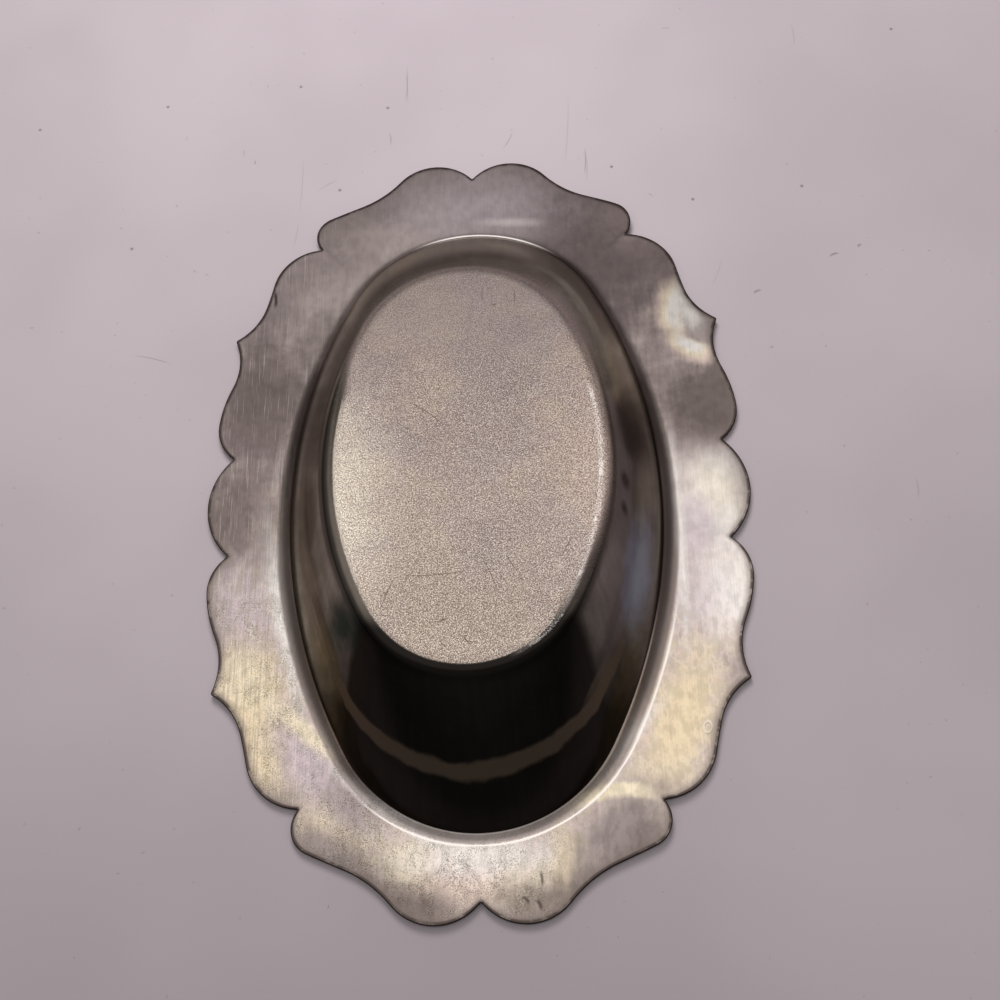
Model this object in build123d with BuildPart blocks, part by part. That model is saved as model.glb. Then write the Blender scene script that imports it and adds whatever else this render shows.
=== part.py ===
"""Oval pewter dish with a scalloped flange.

The dish is one piece of sheet: a flat scalloped flange, a deep oval bowl and a flat base.
It lies upside down, as photographed, with the face of its flange on the table.
+Z points up, out of the underside of the base, and +Y runs along the dish.
The origin is on the table, under the middle of the flange.
"""

import os
from math import cos, hypot, radians, sin

from build123d import *

# the whole dish, in millimetres
length = 190.0              # over the crests of the end lobes
width = 128.0               # over the side lobes
depth = 31.0                # from the face of the flange to the underside of the base
sheet = 1.5                 # thickness of the pewter

# the outside of the bowl
flange_end_width = 18.7     # from the crests to the mouth, in the plane of the flange's face
flange_side_width = 19.2
wall_end_run = 29.9         # how far the wall leans in, down to the base without its rounding
wall_side_run = 14.4
wall_swell = 1.0            # how far the wall bulges out of a straight slope, halfway up
base_radius = 4.0           # rounding from the wall to the base
throat_radius = 3.0         # hollow rounding from the wall to the back of the flange
shoulder_angle = 28         # degrees, where the side arc of an oval meets its end arc
bowl_offset = 2.6           # the flange was cut by eye, wider at its +Y end

# the cut edge of the flange
notch_radius = 0.7          # left by the file in the bottom of each notch
cusp_radius = 0.35          # the blunted tip of each cusp

# one quarter of the flange's outline, from the end of the dish round to its side,
# as shares of the half width and the half length
end_notch_shares = (0.0, 0.952)
end_crest_shares = (0.150, 1.0)
end_lobe_foot_shares = (0.296, 0.955)
end_hollow_foot_shares = (0.455, 0.878)
corner_crest_shares = (0.580, 0.842)
corner_notch_shares = (0.611, 0.744)
shoulder_crest_shares = (0.716, 0.722)
shoulder_flank_shares = (0.799, 0.640)
cusp_hollow_shares = (0.824, 0.572)
cusp_shares = (0.939, 0.474)
waist_hollow_shares = (0.917, 0.408)
waist_foot_shares = (0.939, 0.334)
waist_crest_shares = (0.980, 0.227)
side_notch_shares = (0.913, 0.1305)
side_crest_shares = (1.0, 0.0)


def on_outline(shares):
    """A point of the outline, from its shares of the half width and the half length."""
    return (shares[0] * width / 2, shares[1] * length / 2)


def corners_at(shares, vertices):
    """The corners of the outline at this place and at its mirror images."""
    x_place, y_place = on_outline(shares)
    return [
        vertex
        for vertex in vertices
        if hypot(abs(vertex.X) - x_place, abs(vertex.Y) - y_place) < cusp_radius
    ]


# the scalloped outline of the flange: a double lobe at each end, a hooked corner lobe,
# a shoulder that runs out to a pointed cusp, a waist lobe, and one lobe in the middle of
# each side
with BuildSketch() as outline:
    with BuildLine():
        end_crest = on_outline(end_crest_shares)
        TangentArc(end_crest, on_outline(end_notch_shares), tangent=(-1, 0))
        lobe = TangentArc(end_crest, on_outline(end_lobe_foot_shares), tangent=(1, 0))
        hollow = TangentArc(lobe @ 1, on_outline(end_hollow_foot_shares), tangent=lobe % 1)
        corner = TangentArc(hollow @ 1, on_outline(corner_crest_shares), tangent=hollow % 1)
        TangentArc(corner @ 1, on_outline(corner_notch_shares), tangent=corner % 1)

        shoulder = ThreePointArc(
            on_outline(corner_notch_shares),
            on_outline(shoulder_crest_shares),
            on_outline(shoulder_flank_shares),
        )
        flank = TangentArc(shoulder @ 1, on_outline(cusp_hollow_shares), tangent=shoulder % 1)
        TangentArc(flank @ 1, on_outline(cusp_shares), tangent=flank % 1)

        waist = ThreePointArc(
            on_outline(cusp_shares),
            on_outline(waist_hollow_shares),
            on_outline(waist_foot_shares),
        )
        swelling = TangentArc(waist @ 1, on_outline(waist_crest_shares), tangent=waist % 1)
        TangentArc(swelling @ 1, on_outline(side_notch_shares), tangent=swelling % 1)
        TangentArc(on_outline(side_crest_shares), on_outline(side_notch_shares), tangent=(0, 1))

        mirror(about=Plane.YZ)
        mirror(about=Plane.XZ)
    make_face()
    for notch_shares in (end_notch_shares, corner_notch_shares, side_notch_shares):
        fillet(corners_at(notch_shares, outline.vertices()), radius=notch_radius)
    fillet(corners_at(cusp_shares, outline.vertices()), radius=cusp_radius)


def oval(height, half_length, half_width):
    """One level section of the bowl: an oval drawn from four centres, two arcs to a quarter."""
    along, across = sin(radians(shoulder_angle)), cos(radians(shoulder_angle))
    between_centres = (half_length - half_width) / (along + across - 1)
    end_radius = half_length - between_centres * along
    shoulder = (end_radius * across, half_length - end_radius * (1 - along))
    with BuildSketch(Plane((0, -bowl_offset, height))) as section:
        with BuildLine():
            TangentArc((0, half_length), shoulder, tangent=(1, 0))
            TangentArc((half_width, 0), shoulder, tangent=(0, 1))
            mirror(about=Plane.YZ)
            mirror(about=Plane.XZ)
        make_face()
    return section.sketch


def bowl_block(height, inset_at_ends, inset_at_sides, rounding):
    """The bowl as a solid block, drawn in all round and cut off level at a height."""
    half_length = length / 2 - flange_end_width - inset_at_ends
    half_width = width / 2 - flange_side_width - inset_at_sides
    with BuildPart() as block:
        add(oval(0, half_length, half_width))
        add(
            oval(
                depth / 2,
                half_length - wall_end_run / 2 + wall_swell,
                half_width - wall_side_run / 2 + wall_swell,
            )
        )
        add(oval(depth, half_length - wall_end_run, half_width - wall_side_run))
        loft()
        split(bisect_by=Plane.XY.offset(height), keep=Keep.BOTTOM)
        fillet(block.faces().sort_by(Axis.Z)[-1].edges(), radius=rounding)
    return block.part


# the sheet's thickness, measured level through the sloping wall at the ends and sides
level_sheet_at_ends = sheet * hypot(wall_end_run, depth) / depth
level_sheet_at_sides = sheet * hypot(wall_side_run, depth) / depth

bowl_outside = bowl_block(depth, 0, 0, base_radius)
bowl_inside = bowl_block(
    depth - sheet, level_sheet_at_ends, level_sheet_at_sides, base_radius - sheet
)

with BuildPart() as dish:
    # the flange and the bowl, worked from one sheet, with the hollow rounding between them
    add(outline.sketch)
    extrude(amount=sheet)
    add(bowl_outside)
    flange_back = dish.faces().filter_by(Plane.XY).group_by(Axis.Z)[1][0]
    fillet(flange_back.inner_wires()[0].edges(), radius=throat_radius)

    # the room inside the bowl, with its rolled lip
    add(bowl_inside, mode=Mode.SUBTRACT)
    flange_face = dish.faces().filter_by(Plane.XY).group_by(Axis.Z)[0][0]
    fillet(flange_face.inner_wires()[0].edges(), radius=throat_radius + sheet)

dish.part.label = "dish"

os.makedirs("parts", exist_ok=True)
export_step(dish.part, "parts/dish.step")
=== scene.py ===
from math import atan2, cos, hypot, pi, radians, sin

import bmesh
import bpy
from mathutils import Matrix, Vector


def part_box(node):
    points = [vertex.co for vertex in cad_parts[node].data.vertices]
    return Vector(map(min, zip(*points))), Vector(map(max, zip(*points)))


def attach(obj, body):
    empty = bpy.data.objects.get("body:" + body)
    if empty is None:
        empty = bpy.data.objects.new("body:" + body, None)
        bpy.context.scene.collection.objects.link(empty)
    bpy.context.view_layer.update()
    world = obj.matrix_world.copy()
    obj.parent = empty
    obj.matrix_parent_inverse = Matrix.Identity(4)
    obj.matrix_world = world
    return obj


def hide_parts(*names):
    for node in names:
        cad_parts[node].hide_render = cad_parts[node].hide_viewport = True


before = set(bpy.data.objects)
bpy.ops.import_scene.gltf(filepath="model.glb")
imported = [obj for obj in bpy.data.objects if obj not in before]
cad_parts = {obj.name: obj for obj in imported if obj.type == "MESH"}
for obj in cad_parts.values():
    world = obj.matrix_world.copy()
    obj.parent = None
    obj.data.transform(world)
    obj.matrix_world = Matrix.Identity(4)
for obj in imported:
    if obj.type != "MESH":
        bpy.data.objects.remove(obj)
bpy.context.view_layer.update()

# The dish is one sheet of pewter, with a deep oval bowl sunk into it and its flange cut
# to scallops by hand. It lies upside down, so the back of the flange, the outside of the
# wall and the underside of the base show.
mm = 0.001
sheet = 1.5 * mm
throat_end_radius = 3 * mm
throat_side_radius = 4.6 * mm
base_radius = 4 * mm
flange_end_width = 18.7 * mm
flange_side_width = 19.2 * mm
wall_end_run = 29.9 * mm
wall_side_run = 14.4 * mm
wall_swell = 1.0 * mm
bowl_offset = 2.6 * mm
shoulder_angle = radians(28)
edge_rounding = 0.4 * mm
half_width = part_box("dish")[1][0]
half_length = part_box("dish")[1][1]
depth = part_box("dish")[1][2]


def arc(start, heading, end, pieces=60):
    """Points of the arc that leaves start along heading and reaches end, and its last heading."""
    chord = end - start
    side = Vector((-heading.y, heading.x))
    radius = chord.length_squared / (2 * chord.dot(side))
    centre = start + side * radius
    turn = 2 * atan2(heading.x * chord.y - heading.y * chord.x, heading.dot(chord))
    spin = [Matrix.Rotation(turn * piece / pieces, 2) for piece in range(pieces + 1)]
    return [centre + turned @ (start - centre) for turned in spin], spin[-1] @ heading


def arc_through(start, middle, end):
    """The arc through three points, and its last heading."""
    first, second = middle - start, end - start
    cross = 2 * (first.x * second.y - first.y * second.x)
    centre = start + Vector((
        (second.y * first.length_squared - first.y * second.length_squared) / cross,
        (first.x * second.length_squared - second.x * first.length_squared) / cross,
    ))
    out = (start - centre).normalized()
    heading = Vector((-out.y, out.x)) if cross > 0 else Vector((out.y, -out.x))
    return arc(start, heading, end)


def flange_outline():
    """The cut edge of the flange: one quarter in arcs, mirrored twice. Its corners are filed after.
    """
    end_notch, end_crest, end_lobe_foot, end_hollow_foot, corner_crest, corner_notch = (
        Vector((x * half_width, y * half_length))
        for x, y in ((0, 0.952), (0.150, 1.0), (0.296, 0.955), (0.455, 0.878),
                     (0.580, 0.842), (0.611, 0.744))
    )
    shoulder_crest, shoulder_flank, cusp_hollow, cusp = (
        Vector((x * half_width, y * half_length))
        for x, y in ((0.716, 0.722), (0.799, 0.640), (0.824, 0.572), (0.939, 0.474))
    )
    waist_hollow, waist_foot, waist_crest, side_notch, side_crest = (
        Vector((x * half_width, y * half_length))
        for x, y in ((0.917, 0.408), (0.939, 0.334), (0.980, 0.227), (0.913, 0.1305), (1, 0))
    )
    half_lobe, _ = arc(end_crest, Vector((-1, 0)), end_notch)
    quarter = half_lobe[::-1]
    heading = Vector((1, 0))
    for foot in (end_lobe_foot, end_hollow_foot, corner_crest, corner_notch):
        points, heading = arc(quarter[-1], heading, foot)
        quarter += points[1:]
    points, heading = arc_through(corner_notch, shoulder_crest, shoulder_flank)
    quarter += points[1:]
    for foot in (cusp_hollow, cusp):
        points, heading = arc(quarter[-1], heading, foot)
        quarter += points[1:]
    points, heading = arc_through(cusp, waist_hollow, waist_foot)
    quarter += points[1:]
    for foot in (waist_crest, side_notch):
        points, heading = arc(quarter[-1], heading, foot)
        quarter += points[1:]
    half_lobe, _ = arc(side_crest, Vector((0, 1)), side_notch)
    quarter += half_lobe[-2::-1]

    right = quarter[::-1]
    left = [Vector((-p.x, p.y)) for p in quarter[1:]]
    far_half = right + left
    return far_half + [Vector((p.x, -p.y)) for p in far_half[-2:0:-1]]


def spaced(loop, count):
    """Points evenly spaced along a closed line."""
    ends = loop[1:] + loop[:1]
    total = sum((b - a).length for a, b in zip(loop, ends))
    places, walked, wanted = [], 0.0, 0.0
    for a, b in zip(loop, ends):
        stride = (b - a).length
        while wanted <= walked + stride and len(places) < count:
            places.append(a.lerp(b, (wanted - walked) / max(stride, 1e-12)))
            wanted += total / count
        walked += stride
    return places


outline_points = 3600
filing_passes = 7       # each rounds the corners of the outline a little more
filed = spaced(flange_outline(), outline_points)
for filing_pass in range(filing_passes):
    filed = [
        (filed[i - 1] + 2 * p + filed[(i + 1) % len(filed)]) / 4 for i, p in enumerate(filed)
    ]

# the columns of the dish's mesh lie closer together where the cut edge turns sharply
columns = 640
crowding_per_turn = 3   # how much closer, for each radian of turn in a millimetre
most_crowding = 5
evening_reach = 6       # points to either side over which the crowding is evened out
turns = []
for i, p in enumerate(filed):
    ahead = filed[(i + 2) % len(filed)] - p
    behind = p - filed[i - 2]
    turns.append(abs(ahead.angle_signed(behind)) / (ahead.length / mm))
weights = [1 + min(most_crowding, crowding_per_turn * turn) for turn in turns]
window = range(-evening_reach, evening_reach + 1)
weights = [
    sum(weights[(i + j) % len(weights)] for j in window) / len(window)
    for i in range(len(weights))
]
rim = []
rim_out = []
share = sum(weights) / columns
walked = 0.0
for i, weight in enumerate(weights):
    if walked >= len(rim) * share and len(rim) < columns:
        along = (filed[(i + 1) % len(filed)] - filed[i - 1]).normalized()
        rim.append(filed[i])
        rim_out.append(Vector((along.y, -along.x)))
    walked += weight
columns = len(rim)


def oval(normal_angle, oval_half_length, oval_half_width):
    """The point of a four-centred oval whose outward normal has this angle."""
    across, along = abs(cos(normal_angle)), abs(sin(normal_angle))
    between = oval_half_length - oval_half_width
    between /= cos(shoulder_angle) + sin(shoulder_angle) - 1
    if along < sin(shoulder_angle):
        side_radius = oval_half_width + between * cos(shoulder_angle)
        x = oval_half_width - side_radius * (1 - across)
        y = side_radius * along
    else:
        end_radius = oval_half_length - between * sin(shoulder_angle)
        x = end_radius * across
        y = oval_half_length - end_radius * (1 - along)
    return Vector((x if cos(normal_angle) >= 0 else -x, y if sin(normal_angle) >= 0 else -y))


# the steps of a section: round the lip, up the wall, and round to the floor
lip_steps, wall_steps, corner_steps = 9, 20, 8
halvings = 40           # of the search for where a rounding meets the wall


def wall_section(mouth, run, inset, face, floor, lip_radius, corner_radius):
    """Half a section of the bowl from its lip to its floor, as distances out and heights."""
    def wall(share):
        """A point of the wall, a share of the way up it, and the wall's slope there."""
        out = mouth - inset - run * share + 4 * wall_swell * share * (1 - share)
        lean = run - 4 * wall_swell * (1 - 2 * share)
        return out, depth * share, atan2(depth, lean)

    def meet(radius, height, side):
        """Where a rounding whose centre has this height touches the wall."""
        low, high = 0.0, 1.0
        for halving in range(halvings):
            middle = (low + high) / 2
            out, up, slope = wall(middle)
            if up + side * radius * cos(slope) < height:
                low = middle
            else:
                high = middle
        return low, out + side * radius * sin(slope), slope

    lip_share, lip_out, lip_slope = meet(lip_radius, face + lip_radius, 1)
    floor_share, floor_out, floor_slope = meet(corner_radius, floor - corner_radius, -1)
    section = []
    for step in range(lip_steps + 1):
        angle = lip_slope * step / lip_steps
        section.append((lip_out - lip_radius * sin(angle), face + lip_radius * (1 - cos(angle))))
    for step in range(1, wall_steps):
        section.append(wall(lip_share + (floor_share - lip_share) * step / wall_steps)[:2])
    for step in range(corner_steps + 1):
        angle = floor_slope * (1 - step / corner_steps)
        section.append(
            (floor_out + corner_radius * sin(angle), floor - corner_radius * (1 - cos(angle)))
        )
    return section


def bowl_sections(inset, face, floor):
    """The sections of the bowl at its ends and at its sides, step by step together."""
    ends = wall_section(half_length - flange_end_width, wall_end_run,
                        inset * hypot(wall_end_run, depth) / depth,
                        face, floor, throat_end_radius + inset, base_radius - inset)
    sides = wall_section(half_width - flange_side_width, wall_side_run,
                         inset * hypot(wall_side_run, depth) / depth,
                         face, floor, throat_side_radius + inset, base_radius - inset)
    return list(zip(ends, sides))


outside = bowl_sections(0, sheet, depth)
inside = bowl_sections(sheet, 0, depth - sheet)

# each column runs square from the throat out to the cut edge
throat_length, throat_width = outside[0][0][0], outside[0][1][0]
between_centres = throat_length - throat_width
between_centres /= cos(shoulder_angle) + sin(shoulder_angle) - 1
headings = []
for p in rim:
    x, y = abs(p.x), abs(p.y + bowl_offset)
    heading = atan2(y, x + between_centres * cos(shoulder_angle))
    if heading > shoulder_angle:
        heading = atan2(y - between_centres * sin(shoulder_angle), x)
    heading = heading if p.x >= 0 else pi - heading
    headings.append(heading if p.y + bowl_offset >= 0 else -heading)

# knocks have bent the flange a little here and there: place, reach and height in millimetres
bend_falloff = 2.718
bends = (
    (38, 79, 10, 0.9), (-40, 76, 12, 0.25), (57, 40, 10, 0.35), (-58, -40, 16, 0.3),
    (34, -74, 14, 0.35), (-8, -90, 16, 0.25), (62, -14, 13, 0.2), (-62, 16, 14, 0.2),
)


def bent(x, y, share):
    """How far the flange is bent up here. The share is 0 at the throat and 1 at the rim."""
    lift = sum(
        height * bend_falloff ** -(((x / mm - place_x) ** 2 + (y / mm - place_y) ** 2) / reach ** 2)
        for place_x, place_y, reach, height in bends
    )
    return lift * mm * share ** 1.5


# The surface has a map of its own: the turn round the dish, and a place that runs from the
# middle of the floor over the face, round the cut edge and back in to the middle of the base.
floor_middle_place, floor_rim_place, inner_lip_place, face_place = -5, -4, -1.6, -1.5
lower_edge_place, upper_edge_place, rim_place, throat_place = -0.4, -0.1, 0, 1
wall_place, base_rounding_place, base_place, base_middle_place = 2, 3, 4, 5
edge_span = 0.1         # what each rounding of the cut edge takes up of the places
floor_steps, face_steps, edge_steps, back_steps, base_steps = 8, 12, 4, 16, 9
rings = []      # each ring has its place and its points


def add_oval_ring(place, end, side, shrink=1.0):
    """A ring of the bowl, from its section at the ends and its section at the sides."""
    ring = []
    for heading in headings:
        p = oval(heading, end[0] * shrink, side[0] * shrink)
        height = side[1] + (end[1] - side[1]) * sin(heading) ** 2
        ring.append((p.x, p.y - bowl_offset, height))
    rings.append((place, ring))


def add_flange_ring(place, height, share, inset=0.0):
    """A ring of the flange, at a share of the way from the throat to the rim."""
    ring = []
    for p, out, heading in zip(rim, rim_out, headings):
        edge = p - out * inset
        throat = oval(heading, throat_length, throat_width) - Vector((0, bowl_offset))
        here = throat.lerp(edge, share)
        ring.append((here.x, here.y, height + bent(here.x, here.y, share)))
    rings.append((place, ring))


for step in range(1, floor_steps + 1):
    add_oval_ring(floor_middle_place + step / floor_steps, *inside[-1], shrink=step / floor_steps)
for step, (end, side) in enumerate(inside[-2::-1]):
    passed = (inner_lip_place - floor_rim_place) * (step + 1) / len(inside)
    add_oval_ring(floor_rim_place + passed, end, side)
for step in range(2, face_steps):
    add_flange_ring(face_place + step / face_steps, 0, step / face_steps, edge_rounding)
for step in range(edge_steps + 1):
    angle = pi / 2 * step / edge_steps
    add_flange_ring(lower_edge_place + edge_span * step / edge_steps,
                    edge_rounding * (1 - cos(angle)), 1, edge_rounding * (1 - sin(angle)))
for step in range(edge_steps + 1):
    angle = pi / 2 * step / edge_steps
    add_flange_ring(upper_edge_place + edge_span * step / edge_steps,
                    sheet - edge_rounding * (1 - sin(angle)), 1, edge_rounding * (1 - cos(angle)))
for step in range(1, back_steps):
    add_flange_ring(rim_place + step / back_steps, sheet, 1 - step / back_steps, edge_rounding)
for step, (end, side) in enumerate(outside):
    up_wall = step - lip_steps
    round_base = up_wall - wall_steps + 1
    if up_wall <= 0:
        place = throat_place + step / lip_steps
    elif round_base <= 0:
        place = wall_place + up_wall / wall_steps
    else:
        place = base_rounding_place + round_base / (corner_steps + 1)
    add_oval_ring(place, end, side)
for step in range(1, base_steps):
    add_oval_ring(base_place + step / base_steps, *outside[-1], shrink=1 - step / base_steps)

grid = bmesh.new()
surface_map = grid.loops.layers.uv.new("surface")
rows = [[grid.verts.new(point) for point in ring] for place, ring in rings]
places = [place for place, ring in rings]
floor_middle = grid.verts.new((0, -bowl_offset, depth - sheet))
base_middle = grid.verts.new((0, -bowl_offset, depth))


def add_face(corners, spots):
    """One facet, with its spots on the surface's own map."""
    facet = grid.faces.new(corners)
    facet.smooth = True
    highest = max(spot[1] for spot in spots)
    facet.material_index = (highest > lower_edge_place) + (highest > wall_place)
    for loop, spot in zip(facet.loops, spots):
        loop[surface_map].uv = spot


for column in range(columns):
    following = (column + 1) % columns
    turn = headings[column] / (2 * pi) % 1
    next_turn = turn + (headings[following] / (2 * pi) - turn + 0.5) % 1 - 0.5
    for row in range(len(rows) - 1):
        add_face(
            (rows[row][column], rows[row][following],
             rows[row + 1][following], rows[row + 1][column]),
            ((turn, places[row]), (next_turn, places[row]),
             (next_turn, places[row + 1]), (turn, places[row + 1])),
        )
    add_face((floor_middle, rows[0][following], rows[0][column]),
             ((turn, floor_middle_place), (next_turn, places[0]), (turn, places[0])))
    add_face((base_middle, rows[-1][column], rows[-1][following]),
             ((turn, base_middle_place), (turn, places[-1]), (next_turn, places[-1])))
bmesh.ops.recalc_face_normals(grid, faces=grid.faces)
dish_mesh = bpy.data.meshes.new("pewter_dish")
grid.to_mesh(dish_mesh)
grid.free()
dish = bpy.data.objects.new("pewter_dish", dish_mesh)
bpy.context.collection.objects.link(dish)


class Wire:
    """A value in a finish, wired to the node that gives it, so that sums read as Python."""

    def __init__(self, tree, socket=None):
        self.tree = tree
        self.socket = socket

    def node(self, kind, settings=(), inputs=(), output=0):
        """A new node, its settings first and then the values or wires of its sockets."""
        made = self.tree.nodes.new(kind)
        for name, value in dict(settings).items():
            setattr(made, name, value)
        for name, value in dict(inputs).items():
            if isinstance(value, Wire):
                self.tree.links.new(value.socket, made.inputs[name])
            else:
                made.inputs[name].default_value = value
        return Wire(self.tree, made.outputs[output])

    def maths(self, operation, *values):
        """The result of one operation on wires and numbers."""
        return self.node("ShaderNodeMath", {"operation": operation}, dict(enumerate(values)))

    def __add__(self, other):
        return self.maths("ADD", self, other)

    def __radd__(self, other):
        return self.maths("ADD", other, self)

    def __sub__(self, other):
        return self.maths("SUBTRACT", self, other)

    def __rsub__(self, other):
        return self.maths("SUBTRACT", other, self)

    def __mul__(self, other):
        return self.maths("MULTIPLY", self, other)

    def parts(self):
        """The three parts of a vector, each as a wire."""
        first = self.node("ShaderNodeSeparateXYZ", inputs={0: self})
        return [Wire(self.tree, part) for part in first.socket.node.outputs]

    def within(self, low, high):
        """0 below the low value and 1 above the high one, with a soft step between."""
        return self.node("ShaderNodeMapRange", {"interpolation_type": "SMOOTHSTEP"},
                         {"Value": self, "From Min": low, "From Max": high})

    def blend(self, share, first, second):
        """A colour mixed from two, by a share."""
        return self.node("ShaderNodeMix", {"data_type": "RGBA"},
                         {0: share, 6: first, 7: second}, 2)


def colour(red, green, blue):
    """A colour as it is seen, 0 to 255, in the renderer's own scale."""
    return tuple(
        part / 255 / 12.92 if part <= 10 else ((part / 255 + 0.055) / 1.055) ** 2.4
        for part in (red, green, blue)
    ) + (1,)


def finish(name):
    """A new finish: the start of its wires, its shader's wire and its coordinates."""
    material = bpy.data.materials.new(name)
    material.use_nodes = True
    tree = material.node_tree
    shader = tree.nodes["Principled BSDF"]
    start = Wire(tree)
    spot = start.node("ShaderNodeTexCoord", output=3)
    return material, shader, start, spot


def connect(shader, **inputs):
    """Gives the shader's sockets their values or wires. An underscore stands for a space."""
    for name, value in inputs.items():
        socket = shader.inputs[name.replace("_", " ")]
        if isinstance(value, Wire):
            value.tree.links.new(value.socket, socket)
        else:
            socket.default_value = value


def noise(start, spot, size, detail=2.0, roughness=0.5, stretch=(1, 1, 1), seed=0.0):
    """A noise whose grains have a size in metres, drawn out along an axis if asked."""
    placed = start.node("ShaderNodeMapping", inputs={
        "Vector": spot, "Location": (seed, seed * 0.7, 0),
        "Scale": tuple(1 / size / part for part in stretch),
    })
    return start.node("ShaderNodeTexNoise", inputs={
        "Vector": placed, "Scale": 1.0, "Detail": detail, "Roughness": roughness,
    })


def laid(tone, share, tint):
    """A tone with a tint laid over it, by a share."""
    return tone.blend(share, tone, tint)


def reached(spot, place, reach, turn):
    """How far out of an oval's middle: 1 on the oval. Its place and reach are in millimetres."""
    placed = spot.node("ShaderNodeMapping", {"vector_type": "TEXTURE"}, {
        "Vector": spot, "Location": (place[0] * mm, place[1] * mm, 0),
        "Rotation": (0, 0, radians(turn)), "Scale": (reach[0] * mm, reach[1] * mm, 1),
    })
    return spot.node("ShaderNodeVectorMath", {"operation": "LENGTH"}, {0: placed}, 1)


def patch(spot, place, reach, turn, ragged, soft=0.8):
    """1 inside an oval patch of the surface and 0 outside it, its edge ragged and soft."""
    outward = reached(spot, place, reach, turn) + ragged
    return 1 - outward.within(1 - soft, 1 + soft * 0.4)


def stroke(spot, start_place, end_place, width, bow, ragged=0.0, crisp=0.0):
    """1 along a line on the surface, bowed to its left by a distance, and 0 off it."""
    run = (end_place[0] - start_place[0], end_place[1] - start_place[1])
    placed = spot.node("ShaderNodeMapping", {"vector_type": "TEXTURE"}, {
        "Vector": spot,
        "Location": ((start_place[0] + run[0] / 2) * mm, (start_place[1] + run[1] / 2) * mm, 0),
        "Rotation": (0, 0, atan2(run[1], run[0])),
        "Scale": (hypot(*run) / 2 * mm, width / 2 * mm, 1),
    })
    along, off = (
        spot.node("ShaderNodeVectorMath", {"operation": "DOT_PRODUCT"}, {0: placed, 1: axis}, 1)
        for axis in ((1, 0, 0), (0, 1, 0))
    )
    off = off + (along * along - 1) * (2 * bow / width) + ragged
    return (1 - spot.maths("ABSOLUTE", off).within(crisp, 1.0)) * (
        1 - spot.maths("ABSOLUTE", along).within(0.3, 1.0))


def unevenness(start, spot):
    """The broad clouds of a surface, its mottles, and the raggedness of its patches' edges."""
    cloud = noise(start, spot, 0.016, 3.0, 0.55, seed=3.1)
    mottle = noise(start, spot, 0.0036, 4.0, 0.62, seed=8.2)
    rubbing = noise(start, spot, 0.0014, 3.0, 0.6, stretch=(1, 9, 1), seed=4.6)
    patchy = noise(start, spot, 0.0050, 4.0, 0.60, seed=6.1)
    return cloud, mottle, (patchy - 0.5) * 0.8 + (rubbing - 0.5) * 0.5


def on_surface(start, spot):
    """Where on the dish: the turn round it, the place on its map, and across and along it."""
    turn, place, _ = start.node("ShaderNodeUVMap", {"uv_map": "surface"}).parts()
    across, along, _ = spot.parts()
    return turn * (2 * pi), place, across, along


def throat_highlight_lines(across, along):
    """Where the throat has its two near lines of painted highlight, and where it has its one far
    line.
    """
    lined = (across * 0.6 - along).within(0.050, 0.064)
    off_middle = across.maths("ABSOLUTE", across - 0.003)
    return lined, along.within(0.058, 0.066) * (1 - off_middle.within(0.009, 0.020))


# the back of the flange, clouded, with patches laid over it: light ones are painted highlights and
# dark ones are painted shade, both in the tints of the metal's tarnish. Each patch has its place,
# its reach, its turn in degrees, its tint and its strength.
flange_back, shader, start, spot = finish("pewter_flange")
turn, place, across, along = on_surface(start, spot)
nearness = 0 - start.maths("SINE", turn)
cloud, mottle, ragged = unevenness(start, spot)
grain = noise(start, spot, 0.00024, 2.0, 0.65, seed=1.7)
brushing = noise(start, spot, 0.00030, 3.0, 0.7, stretch=(1, 45, 1), seed=5.4)
near_half = (0 - along - across * 0.3).within(-0.004, 0.022)
cream, gold, silver = colour(254, 240, 212), colour(248, 228, 190), colour(255, 249, 245)
rose, lilac, ash = colour(246, 222, 210), colour(214, 198, 206), colour(156, 144, 142)
slate, umber, dusk = colour(172, 158, 158), colour(136, 122, 122), colour(126, 114, 110)
flange = start.blend(cloud.within(0.35, 0.65), colour(208, 192, 190), colour(220, 204, 200))
# painted highlights mottled in cream and rose over the near half, with grey mottles between them
flange = laid(flange, near_half * mottle.within(0.40, 0.60) * 0.45, cream)
flange = laid(flange, near_half * (1 - mottle.within(0.34, 0.46)) * 0.45, rose)
lumps = noise(start, spot, 0.0019, 3.0, 0.6, stretch=(1, 1.8, 1), seed=7.7)
flange = laid(flange, near_half * (1 - lumps.within(0.34, 0.46)) * 0.6, cream)
flange = laid(flange, near_half * lumps.within(0.56, 0.70) * 0.5, ash)


def painted_reflections_and_tarnish(tone, reflection_patches):
    """A tone with patches of painted highlight and painted shade laid over it: place, reach, turn,
    tint and strength of each.
    """
    for patch_place, reach, turn, tint, strength in reflection_patches:
        tone = laid(tone, patch(spot, patch_place, reach, turn, ragged) * strength, tint)
    return tone


# painted highlights: pale patches over the near half of the flange
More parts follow.
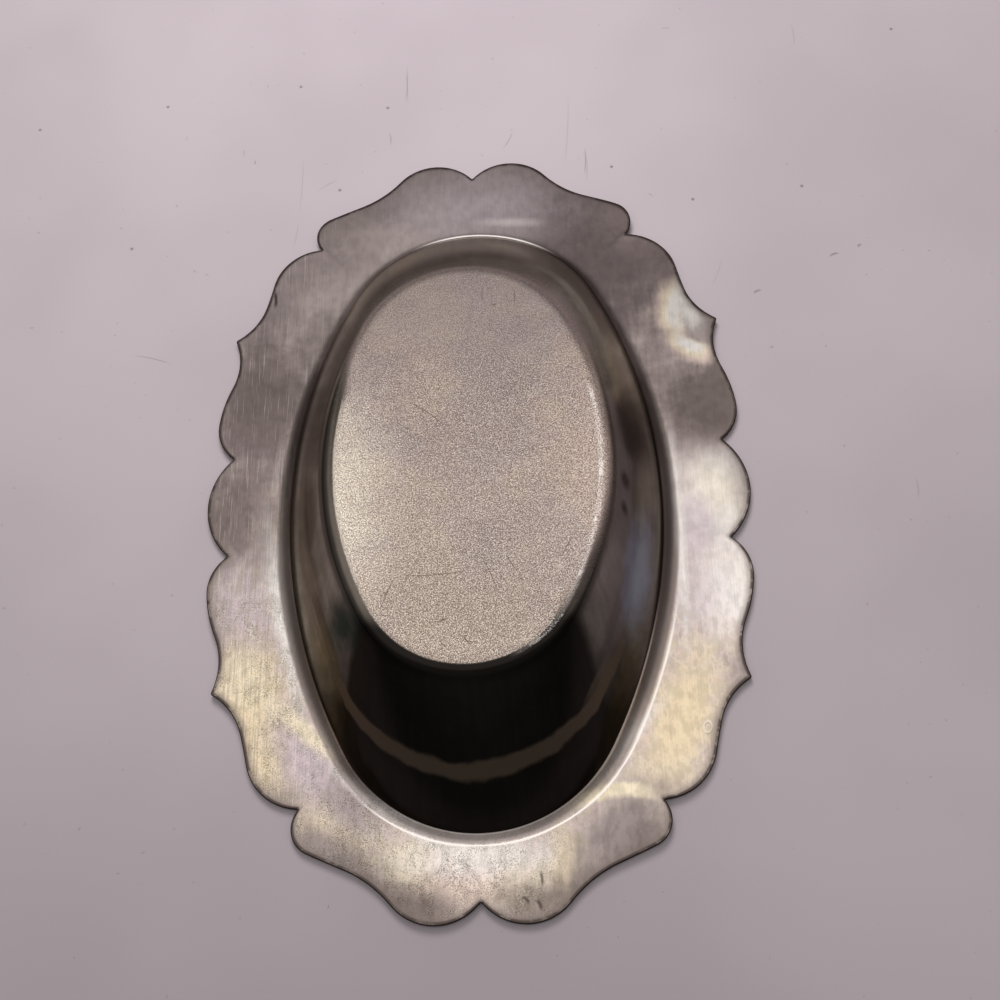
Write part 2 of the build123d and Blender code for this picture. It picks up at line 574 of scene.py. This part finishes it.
flange = painted_reflections_and_tarnish(flange, (
    ((-52, -45), (10, 13), 15, gold, 0.85), ((-53, -42), (7, 8), 10, cream, 0.7),
    ((-47, -60), (7, 13), 20, gold, 0.75), ((-34, -75), (13, 5), -32, gold, 0.40),
    ((-14, -84), (9, 6), -20, cream, 0.8), ((-3, -86), (13, 7), 5, rose, 0.9),
    ((1, -82), (19, 5), 0, silver, 0.75), ((18, -84), (4, 9), -10, gold, 0.6),
    ((44, -54), (8, 19), -22, gold, 0.80), ((58, -28), (7, 12), 0, rose, 0.9),
    ((57, -25), (10, 13), 0, silver, 0.95), ((10, -88), (9, 6), 0, cream, 0.5),
))
# painted shade: the outer part of the flange darker at the far end
flange = laid(flange, along.within(0.030, 0.060) * (1 - place.within(0.15, 0.65)) * 0.6, umber)
# painted shade and painted highlights over the rest of the flange, with long painted highlight
# lines near the throat
flange = painted_reflections_and_tarnish(flange, (
    ((33, 62), (32, 38), 0, umber, 1.00), ((23, 81), (11, 8), 0, dusk, 0.7),
    ((-54, 26), (20, 28), 0, umber, 1.00), ((-52, 28), (14, 18), 0, dusk, 0.60),
    ((-33, 69), (10, 8), 25, slate, 0.4), ((2, 81), (26, 13), 0, lilac, 0.75),
    ((58, 18), (19, 12), 0, umber, 1.00), ((-43, 62), (16, 14), 0, slate, 0.45),
    ((-57, -2), (14, 17), 0, umber, 0.90), ((-60, -3), (7, 14), 0, dusk, 0.6),
    ((-61, -24), (5, 16), 0, ash, 0.35), ((-54, -24), (9, 11), 5, lilac, 0.55),
    ((-45, -20), (4, 12), 10, silver, 0.60), ((-37, -60), (8, 14), 38, lilac, 0.80),
    ((-27, -70), (7, 10), 40, slate, 0.85), ((-26, -87), (18, 8.5), -32, dusk, 0.90),
    ((-44, -72), (9, 8), -40, ash, 0.7), ((-33, -79), (8, 5), -35, ash, 0.8),
    ((-14, -92), (14, 7), -6, dusk, 0.85), ((12, -92), (14, 7), 8, dusk, 0.75),
    ((26, -86), (13, 8), 24, dusk, 0.85), ((31, -77), (15, 10), 32, ash, 0.95),
    ((35, -80), (10, 5), 30, dusk, 0.7), ((54, -57), (4, 12), -15, ash, 0.55),
    ((50, -25), (8, 10), 0, lilac, 0.45), ((59, -43), (5, 6), 0, ash, 0.55),
    ((56, -3), (11, 14), 0, silver, 0.85), ((58, 24), (13, 12), -20, dusk, 1.0),
    ((62, 0), (4, 9), 0, ash, 0.6), ((56, -1), (6, 9), 25, cream, 0.4),
    ((51, -9), (5, 8), 0, lilac, 0.7),
    ((-44.5, -27), (2.6, 24), 12.4, silver, 0.90), ((-39.5, -53), (14, 2.4), -39.5, cream, 0.95),
    ((-18.5, -72), (17, 2.0), -35.5, silver, 0.80), ((28, -61.5), (17, 2.2), 43.5, silver, 0.75),
    ((-38.5, 46), (5, 10), -25, dusk, 0.55), ((-49, -11), (5, 9), 0, ash, 0.5),
    ((46.6, -12), (1.6, 26), 0, silver, 0.7), ((46, 28), (9, 9), 0, dusk, 0.5),
))
# painted highlights: a bright line on the near right, and a U of light round the bent lobe at the
# far right
for ends, width, bow, tint, strength in (
    (((16, -74), (41, -71)), 4.5, 4.0, cream, 0.95),
    (((53, 59), (50.5, 37)), 10.0, -3.4, rose, 0.75),
    (((47, 43), (62, 35)), 8.0, -3.2, rose, 0.80),
    (((52.8, 58), (51, 38)), 7.5, -2.8, cream, 1.0),
    (((47.6, 43), (60, 36)), 6.2, -2.8, cream, 1.0),
    (((52.6, 56), (50.8, 40)), 4.6, -2.2, silver, 1.0),
    (((49.0, 42), (58, 36.5)), 4.4, -1.8, silver, 1.0),
):
    flange = laid(flange, stroke(spot, *ends, width, bow, ragged * 0.9, 0.25) * strength, tint)
flange = laid(flange, patch(spot, (53.2, 48.5), (3.4, 8.0), 12, ragged) * 0.95, silver)

# the near end is scoured, and the left side is brushed along the dish
gritty = (0 - along - across * 0.1).within(0.018, 0.034) * (1 - across.within(0.008, 0.026))
scouring = gritty * (0.16 + mottle.within(0.40, 0.60) * 0.42)
worn = 1 - (1 - grain.within(0.36, 0.56)) * (0.04 + scouring)
worn = worn * (1 - (1 - lumps.within(0.34, 0.60)) * (0.12 + near_half * 0.10))
flange = start.node("ShaderNodeVectorMath", {"operation": "SCALE"}, {0: flange, "Scale": worn})
brushed_side = (0 - across).within(0.030, 0.048)
flange = laid(flange, brushing.within(0.45, 0.72) * (0.16 + brushed_side * 0.26), umber)
flange = laid(flange, (1 - brushing.within(0.30, 0.44)) * brushed_side * 0.3, silver)
black = colour(52, 44, 42)
for ends, width, bow, strength in (
    (((-51.0, 59.6), (-50.5, 53.4)), 1.5, 0.3, 0.9),
    (((12.4, -84.2), (12.8, -87.9)), 1.0, 0.2, 0.75),
    (((11.4, -89.8), (12.6, -92.6)), 1.3, 0.2, 0.75),
    (((8.2, -89.4), (10.2, -91.2)), 1.2, 0.3, 0.7),
):
    flange = laid(flange, stroke(spot, *ends, width, bow) * strength, black)
dent = reached(spot, (49.5, -55.7), (1.0, 1.4), -15)
dent_line = dent.within(0.55, 0.8) * (1 - dent.within(0.9, 1.2))
flange = laid(flange, dent_line * 0.3, silver)

# the throat: painted highlights as two lines round its near end and one at the far end, a hollow
# painted pale as a reflection at the near end and dark as shade beside the bowl, and a dark line of
# painted shade at the wall's foot
lined, far_line = throat_highlight_lines(across, along)
inner_line = place.within(1.80, 1.90) * (1 - place.within(1.94, 2.02))
shine = far_line * place.within(1.30, 1.50) * (1 - place.within(1.62, 1.76))
glint = patch(spot, (10, 76.2), (9, 1.5), -4, ragged * 0.4, 1.0) * 0.24
shine = start.maths("MAXIMUM", shine, glint)
outer_line = place.within(0.960, 0.985) * (1 - place.within(0.99, 1.02))
foot = place.within(1.86, 1.97)
# painted shade in the throat on the right side
right_throat = across.within(0.036, 0.044) * place.within(1.10, 1.50)
tone = laid(flange, right_throat * (1 - along.within(0.030, 0.060)) * 0.6, umber)
tone = laid(tone, foot * (1 - nearness.within(0.4, 0.5)) * 0.9, colour(72, 64, 58))
tone = laid(tone, foot * nearness.within(0.4, 0.5), colour(32, 29, 27))
hollow = place.within(1.00, 1.15) * (1 - place.within(1.72, 1.86))
tone = laid(tone, hollow * nearness.within(0.75, 0.95) * 0.75, ash)
beside_bowl = (1 - nearness.within(0.34, 0.46)) * nearness.within(-0.50, -0.15)
tone = laid(tone, place.within(1.04, 1.22) * beside_bowl * 0.65, colour(82, 73, 67))
off_middle = start.maths("ABSOLUTE", across).within(0.015, 0.030)
beside_near_end = off_middle * (0 - along).within(0.0, 0.020)
tone = laid(tone, hollow * beside_near_end * 0.7, dusk)
tone = laid(tone, inner_line * lined * 0.9, silver)
tone = laid(tone, shine, silver)
tone = laid(tone, outer_line * lined * 0.95, silver)

# the cut edge, painted dark as shade, and the flange's last millimetre, darker toward the edge
far_edge = along.within(-0.005, 0.030) * (1 - place.within(0.004, 0.020))
outer_rim = start.maths("MAXIMUM", near_half, across.within(0.042, 0.056))
tone = laid(tone, (1 - place.within(0.02, 0.13)) * outer_rim * 0.6, dusk)
tone = laid(tone, far_edge * 0.75, colour(84, 74, 72))
edge_darkening = 0.9 - mottle.within(0.50, 0.60) * 0.5
tone = laid(tone, (1 - place.within(0.008, 0.045)) * edge_darkening, colour(76, 66, 62))
tone = laid(tone, (1 - place.within(-0.030, -0.012)) * 0.95, colour(60, 52, 48))

# relief in millimetres: waves left by the hammer, brushing, mottling and sanding
relief = cloud * 0.30 + brushing * 0.004 + grain * 0.006 + mottle * 0.02 - dent_line * 0.05
bumps = start.node("ShaderNodeBump", inputs={
    "Height": relief * (1 - place.within(1.5, 2.0)), "Strength": 1.0, "Distance": mm,
})
connect(shader, Base_Color=tone, Metallic=1 - shine * 0.5, Normal=bumps,
        Roughness=0.24 + cloud * 0.08 + near_half * 0.08 + brushing * 0.05,
        Specular_Tint=(0.85, 0.81, 0.78, 1))

# the bowl's wall: dull and olive, streaked up its slope, and nearly black toward the near end
bowl_back, shader, start, spot = finish("pewter_bowl")
turn, place, across, along = on_surface(start, spot)
nearness = 0 - start.maths("SINE", turn)
cloud, mottle, ragged = unevenness(start, spot)
around = start.node("ShaderNodeCombineXYZ", inputs={
    0: start.maths("COSINE", turn), 1: nearness, 2: place,
})
wall_tone = noise(start, spot, 0.010, 3.0, 0.6, stretch=(1, 1, 3), seed=2.2)
streaks = noise(start, around, 0.07, 4.0, 0.7, stretch=(1, 1, 9), seed=3.7)
bands = noise(start, around, 0.55, 3.0, 0.6, stretch=(1, 1, 0.35), seed=9.2)
wall = start.blend(streaks.within(0.3, 0.7), colour(150, 143, 131), colour(180, 172, 160))
wall = laid(wall, bands.within(0.48, 0.62) * 0.5, colour(128, 119, 108))
wavy = place + (wall_tone - 0.5) * 0.12
# painted reflection: the wall at the far end pale next to the flange, with a darker ring further up
far_foot = along.within(0.005, 0.045) * (1 - wavy.within(2.40, 2.75))
wall = laid(wall, far_foot * 0.95, colour(248, 243, 226))
wall = laid(wall, along.within(0.01, 0.04) * wavy.within(2.62, 2.90) * 0.7, colour(112, 105, 93))
# painted reflection: a bright patch on the far right of the wall
far_right = patch(spot, (36, 48), (20, 34), 30, ragged) * (1 - wavy.within(2.40, 2.72))
wall = laid(wall, far_right * 0.9, colour(255, 250, 236))
# painted shade: the right side of the wall darker, and the left side a little darker
right_side = across.within(0.022, 0.034) * (1 - along.within(0.005, 0.030))
wall = laid(wall, right_side * 0.8, colour(90, 84, 86))
left_side = (0 - across).within(0.022, 0.034) * (1 - along.within(-0.01, 0.02))
wall = laid(wall, left_side * 0.25, colour(96, 88, 78))
# painted shade: a darker ring where the wall turns into the base's rounding
below_base = wavy.within(2.90, 3.15) * (0.85 - along.within(0.0, 0.03) * 0.5)
wall = laid(wall, below_base, colour(78, 71, 66))
near_wall = (nearness - place * 0.12 + 0.24 + (wall_tone - 0.5) * 0.12).within(0.20, 0.46)
wall = laid(wall, near_wall * 0.97, colour(30, 27, 25))
# a paler, rougher band across the dark near part of the wall
pale_band = wavy.within(2.37, 2.41) * (1 - wavy.within(2.485, 2.52)) * near_wall
wall = laid(wall, pale_band * 0.9, colour(98, 86, 73))
for ends, bow in ((((-36.5, -22), (-27.6, -49.5)), 0.8), (((22.5, -56), (31, -41)), 0.3)):
    wall = laid(wall, stroke(spot, *ends, 2.6, bow, ragged * 0.4, 0.6) * 0.6, colour(90, 81, 68))
wall = laid(wall, patch(spot, (-26, -37), (4, 6), 25, ragged) * 0.8, colour(30, 48, 42))
wall = laid(wall, patch(spot, (36, -25), (3.4, 14), -10, ragged) * 0.75, colour(140, 148, 166))
for blot_place, reach in (((33.8, -7), (1.1, 2.2)), ((33.2, -13.5), (0.9, 1.8))):
    wall = laid(wall, patch(spot, blot_place, reach, 0, ragged) * 0.7, colour(40, 34, 32))

# the base: satin, as fine as a sanded casting, with a painted highlight over its left side and
# painted glints along its rim on the right
speckle = noise(start, spot, 0.00024, 3.0, 0.8, seed=6.6)
tint_cloud = noise(start, spot, 0.0085, 3.0, 0.6, seed=4.4)
base = start.blend(tint_cloud.within(0.3, 0.7), colour(204, 182, 176), colour(224, 204, 188))
base = laid(base, cloud.within(0.42, 0.60) * 0.6, colour(190, 174, 180))
rough_part = 1 - (along + ragged * 0.012).within(0.010, 0.036)
# painted highlight: a bright cream patch over the left of the base
base_highlight = patch(spot, (-28, -14), (13, 30), 0, ragged, 1.0)
base = laid(base, (1 - rough_part) * 0.6, colour(180, 166, 166))
base = laid(base, base_highlight * 0.95, colour(255, 245, 226))
base = laid(base, patch(spot, (27, -2), (10, 26), 0, ragged, 1.0) * 0.5, colour(255, 226, 212))
base = laid(base, patch(spot, (1, -38), (34, 18), 0, ragged, 1.0) * 0.8, colour(190, 174, 156))
for spot_place, reach, strength in (((8, 16), (9, 11), 0.45), ((4, -22), (9, 8), 0.45),
                                    ((-9, -2), (5, 6), 0.35), ((-8, -12), (3, 4), 0.35),
                                    ((-15, 22), (3, 3), 0.4), ((-5, 4), (5, 5), 0.35),
                                    ((12, 28), (6, 5), 0.35), ((14, -30), (8, 8), 0.3)):
    base = laid(base, patch(spot, spot_place, reach, 0, ragged, 1.0) * strength,
                colour(172, 158, 162))
fine_dark = speckle.within(0.48, 0.54) * (0.50 + rough_part * 0.38)
base = laid(base, fine_dark, colour(124, 105, 100))
fine_light = (1 - speckle.within(0.40, 0.47)) * (0.4 + rough_part * 0.55)
base = laid(base, fine_light, colour(255, 246, 234))
for ends, width, bow in (
    (((-12.4, 10.8), (-3.4, 3.6)), 0.35, 0.6), (((-18.0, -37), (-14.6, -28.6)), 0.35, 0.0),
    (((-14.4, -28.4), (2.2, -27.6)), 0.3, -0.8), (((19.1, -26.8), (22.6, -20.2)), 0.3, 0.0),
    (((-0.7, -41.8), (0.9, -43.9)), 0.5, 0.0), (((-6.0, -38.9), (-3.8, -38.0)), 0.7, 0.0),
    (((-5.4, -42.5), (-3.9, -44.3)), 0.4, 0.0), (((4.2, 39.0), (4.1, 34.5)), 0.25, 0.0),
    (((11.4, 38.6), (11.3, 32.8)), 0.25, 0.0), (((6.0, 33.8), (7.6, 34.2)), 0.5, 0.0),
    (((3.4, -32.0), (4.1, -32.0)), 0.9, 0.0), (((-9.6, -34.9), (-9.0, -34.9)), 0.6, 0.0),
    (((2.6, -24.0), (6.4, -33.0)), 0.3, 0.3), (((8.0, -24.5), (10.5, -29.0)), 0.3, 0.0),
):
    base = laid(base, stroke(spot, *ends, width, bow, 0.0, 0.2) * 0.7, colour(96, 80, 72))

# the satin of the base runs out over its rounding, further at the far end and on the right
satin_edge = place + along.within(0.005, 0.035) * 0.50 + ragged * 0.15
satin_edge = satin_edge - nearness.within(0.0, 0.7) * 0.60
satin_edge = satin_edge - (0 - across - along * 0.5).within(0.0, 0.03) * 0.5
satin_edge = satin_edge + across.within(0.0, 0.025) * 0.30
on_base = (satin_edge + (speckle - 0.5) * 1.2).within(3.35, 3.85)
on_base = start.maths("MAXIMUM", on_base, place.within(3.92, 4.05))
# painted shade: a dark line at the foot of the wall, broken where the throat's highlight lines run
lined, far_line = throat_highlight_lines(across, along)
foot_line = (1 - place.within(2.00, 2.06)) * (1 - far_line) * (1 - lined)
wall = laid(wall, foot_line * 0.75, colour(60, 52, 48))
# painted highlight: a pale line along the lip of the wall on the right side
lip = place.within(2.06, 2.09) * (1 - place.within(2.11, 2.16))
far_lip = lip * across.within(0.012, 0.030) * along.within(-0.03, 0.0)
wall = laid(wall, far_lip * 0.45, colour(214, 206, 192))
tone = start.blend(on_base, wall, base)

# painted glints in spots along the rim of the base on the right
rim_glints = place.within(3.72, 3.84) * (1 - place.within(3.94, 4.02)) * across.within(0.008, 0.022)
rim_glints = rim_glints * (1 - along.within(0.008, 0.016)) * (
    (1 - speckle.within(0.46, 0.52)) * 0.7 + mottle.within(0.52, 0.60) * 0.5)
tone = laid(tone, rim_glints, colour(255, 248, 244))

wall_roughness = 0.12 + wall_tone * 0.08 + pale_band * 0.2
base_roughness = 0.36 + speckle * 0.14 - base_highlight * 0.10
roughness = wall_roughness * (1 - on_base) + base_roughness * on_base
relief = (wall_tone * 0.03 + streaks * 0.01) * (1 - on_base)
relief = (relief + speckle * 0.016 * on_base + cloud * 0.30 * on_base) * place.within(2.0, 2.2)
bumps = start.node("ShaderNodeBump", inputs={
    "Height": relief, "Strength": 1.0, "Distance": mm,
})
connect(shader, Base_Color=tone, Roughness=roughness,
        Metallic=1 - base_highlight * on_base * 0.28 - rim_glints * 0.45,
        Normal=bumps, Specular_Tint=(0.52, 0.50, 0.48, 1))

# the face of the sheet, which the table hides
face, shader, start, spot = finish("pewter_face")
patches = noise(start, spot, 0.018, 3.0, 0.6, seed=9.3)
brushing = noise(start, spot, 0.0006, 2.0, 0.6, stretch=(1, 40, 1), seed=2.9)
tone = start.blend(patches.within(0.3, 0.7), colour(178, 172, 168), colour(198, 192, 184))
tone = laid(tone, brushing.within(0.3, 0.7) * 0.2, colour(128, 123, 120))
bumps = start.node("ShaderNodeBump", inputs={
    "Height": brushing, "Strength": 1.0, "Distance": 0.004 * mm,
})
connect(shader, Base_Color=tone, Roughness=0.26 + patches * 0.14, Metallic=1.0, Normal=bumps)

for made in (face, flange_back, bowl_back):
    dish_mesh.materials.append(made)
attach(dish, "root")
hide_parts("dish")

# The table is a sheet of pale laminate, pinkish grey, with the fine scratches of use.
table_reach = 0.9
table_drop = 0.05 * mm  # keeps it clear of the dish's face
table_mesh = bpy.data.meshes.new("table_top")
table_mesh.from_pydata(
    [(x * table_reach, y * table_reach, -table_drop)
     for x, y in ((-1, -1), (1, -1), (1, 1), (-1, 1))],
    [], [(0, 1, 2, 3)],
)
table = bpy.data.objects.new("table_top", table_mesh)
bpy.context.collection.objects.link(table)
laminate, shader, start, spot = finish("table_laminate")
cloud = noise(start, spot, 0.060, 2.0, 0.5, seed=7.0)
scuffs = noise(start, spot, 0.0012, 3.0, 0.7, stretch=(1, 12, 1), seed=1.3)
dust = noise(start, spot, 0.0016, 1.0, 0.5, seed=4.9)
tone = start.blend(cloud.within(0.3, 0.7), colour(151, 142, 148), colour(157, 148, 154))
# painted shade: a broad darker patch over the near side of the table
tone = laid(tone, patch(spot, (-15, -150), (150, 75), -8, 0.0, 1.0) * 0.6, colour(128, 119, 125))
tone = laid(tone, scuffs.within(0.6, 0.8) * 0.12, colour(150, 140, 146))
tone = laid(tone, dust.within(0.76, 0.80) * 0.5, colour(120, 108, 112))
for ends, width, strength in (
    (((-87.5, 43.3), (-75.7, 39.8)), 0.5, 0.5), (((-18.4, 129.3), (-17.7, 117.2)), 0.5, 0.35),
    (((30.1, 98.9), (29.8, 87.7)), 0.6, 0.3), (((102.2, 1.6), (102.0, -4.6)), 0.6, 0.35),
    (((87.0, -29.3), (87.5, -29.4)), 0.9, 0.6), (((-32.4, -90.8), (-32.0, -90.9)), 1.0, 0.7),
    (((-50.9, -92.8), (-50.5, -92.8)), 0.9, 0.4), (((-17.9, 131.8), (-18.3, 116.7)), 0.5, 0.45),
    (((-22.5, 108.5), (-22.2, 103.4)), 0.6, 0.5), (((-62.5, 105.5), (-62.3, 102.5)), 0.5, 0.5),
    (((-59.2, 101.6), (-59.1, 100.0)), 0.7, 0.7), (((-45.8, 103.0), (-46.2, 81.5)), 0.5, 0.3),
    (((-46.2, 81.5), (-47.4, 72.2)), 0.5, 0.3), (((-41.6, 89.9), (-35.5, 93.8)), 0.5, 0.4),
    (((11.1, 106.8), (7.9, 100.4)), 0.6, 0.45), (((-78.2, 109.0), (-77.8, 111.2)), 0.6, 0.35),
    (((26.4, 119.1), (24.2, 92.3)), 0.5, 0.3), (((29.9, 100.5), (29.4, 90.3)), 0.5, 0.6),
    (((88.3, 138.2), (88.4, 129.0)), 0.5, 0.4), (((52.6, 138.4), (55.8, 138.2)), 0.6, 0.45),
    (((89.7, 61.9), (92.6, 62.9)), 0.9, 0.85), (((97.2, 64.2), (98.5, 65.2)), 1.0, 0.8),
    (((69.8, 52.2), (72.3, 53.3)), 1.0, 0.75), (((63.5, 64.7), (59.3, 54.0)), 0.5, 0.25),
    (((45.5, 84.1), (46.9, 82.6)), 0.6, 0.4),
):
    tone = laid(tone, stroke(spot, *ends, width, 0.4) * strength, colour(104, 94, 98))
for speck_place in ((-120.1, 115.9), (-23.0, 116.6), (-84.5, 121.3), (-47.4, 125.6), (-35.4, 90.3),
                    (-90.2, 75.2), (115.1, 133.6), (57.2, 81.5), (36.8, 93.1), (85.4, 83.8)):
    tone = laid(tone, patch(spot, speck_place, (0.5, 0.5), 0, 0.0) * 0.8, colour(84, 74, 78))
connect(shader, Base_Color=tone, Roughness=0.55)
table_mesh.materials.append(laminate)

# The light is a soft lamp above the table, beyond the far end of the dish. The room has a bright
# ceiling overhead and toward the near side, and is dim beyond it and low down.
lamp_data = bpy.data.lights.new("soft_lamp", "AREA")
lamp_data.shape = "DISK"
lamp_data.size = 0.22
lamp_data.energy = 1.62
lamp_data.color = (1.0, 0.97, 0.95)
lamp = bpy.data.objects.new("soft_lamp", lamp_data)
bpy.context.collection.objects.link(lamp)
lamp.location = (-0.03, 0.25, 0.30)
lamp.visible_glossy = False
lamp.rotation_euler = (-lamp.location).to_track_quat("-Z", "Y").to_euler()

room = bpy.data.worlds.new("room")
bpy.context.scene.world = room
room.use_nodes = True
tree = room.node_tree
sky = tree.nodes["Background"]
start = Wire(tree)
direction = start.node("ShaderNodeTexCoord", output=0)
toward_right, toward_far, upward = direction.parts()
beside = start.maths("ABSOLUTE", toward_right + 0.06)
ceiling = 1 - (toward_far - beside * 0.45).within(0.29, 0.40)
ceiling = ceiling * toward_far.within(-0.50, -0.30) * upward.within(0.50, 0.78)
low_light, high_light, ceiling_light = 0.12, 0.27, 1.19
beyond = low_light + upward.within(0.0, 0.7) * (high_light - toward_right * 0.04)
light = beyond * (1 - ceiling) + ceiling * ceiling_light
shown = start.node("ShaderNodeLightPath", output=0)
glow = start.node("ShaderNodeVectorMath", {"operation": "SCALE"}, {
    0: (1.0, 0.975, 0.95), "Scale": light,
})
pale_background = (0.82, 0.81, 0.81, 1)
glow = start.blend(shown, glow, pale_background)
tree.links.new(glow.socket, sky.inputs["Color"])

# The camera stands about 28 cm away, above the near end of the dish and a little to its right.
# Its place and its turn were fitted to the outline in the photo.
camera_data = bpy.data.cameras.new("camera")
camera_data.sensor_width = 36.0
camera_data.lens = 43.2
camera = bpy.data.objects.new("camera", camera_data)
bpy.context.collection.objects.link(camera)
camera_right = Vector((0.9979, -0.0188, -0.0620))
camera_up = Vector((0.0406, 0.9267, 0.3735))
camera_place = (0.01984, -0.10656, 0.26184)
camera.matrix_world = Matrix.Translation(camera_place) @ Matrix(
    (camera_right, camera_up, camera_right.cross(camera_up))
).transposed().to_4x4()
bpy.context.scene.camera = camera
bpy.context.scene.view_settings.view_transform = "Standard"
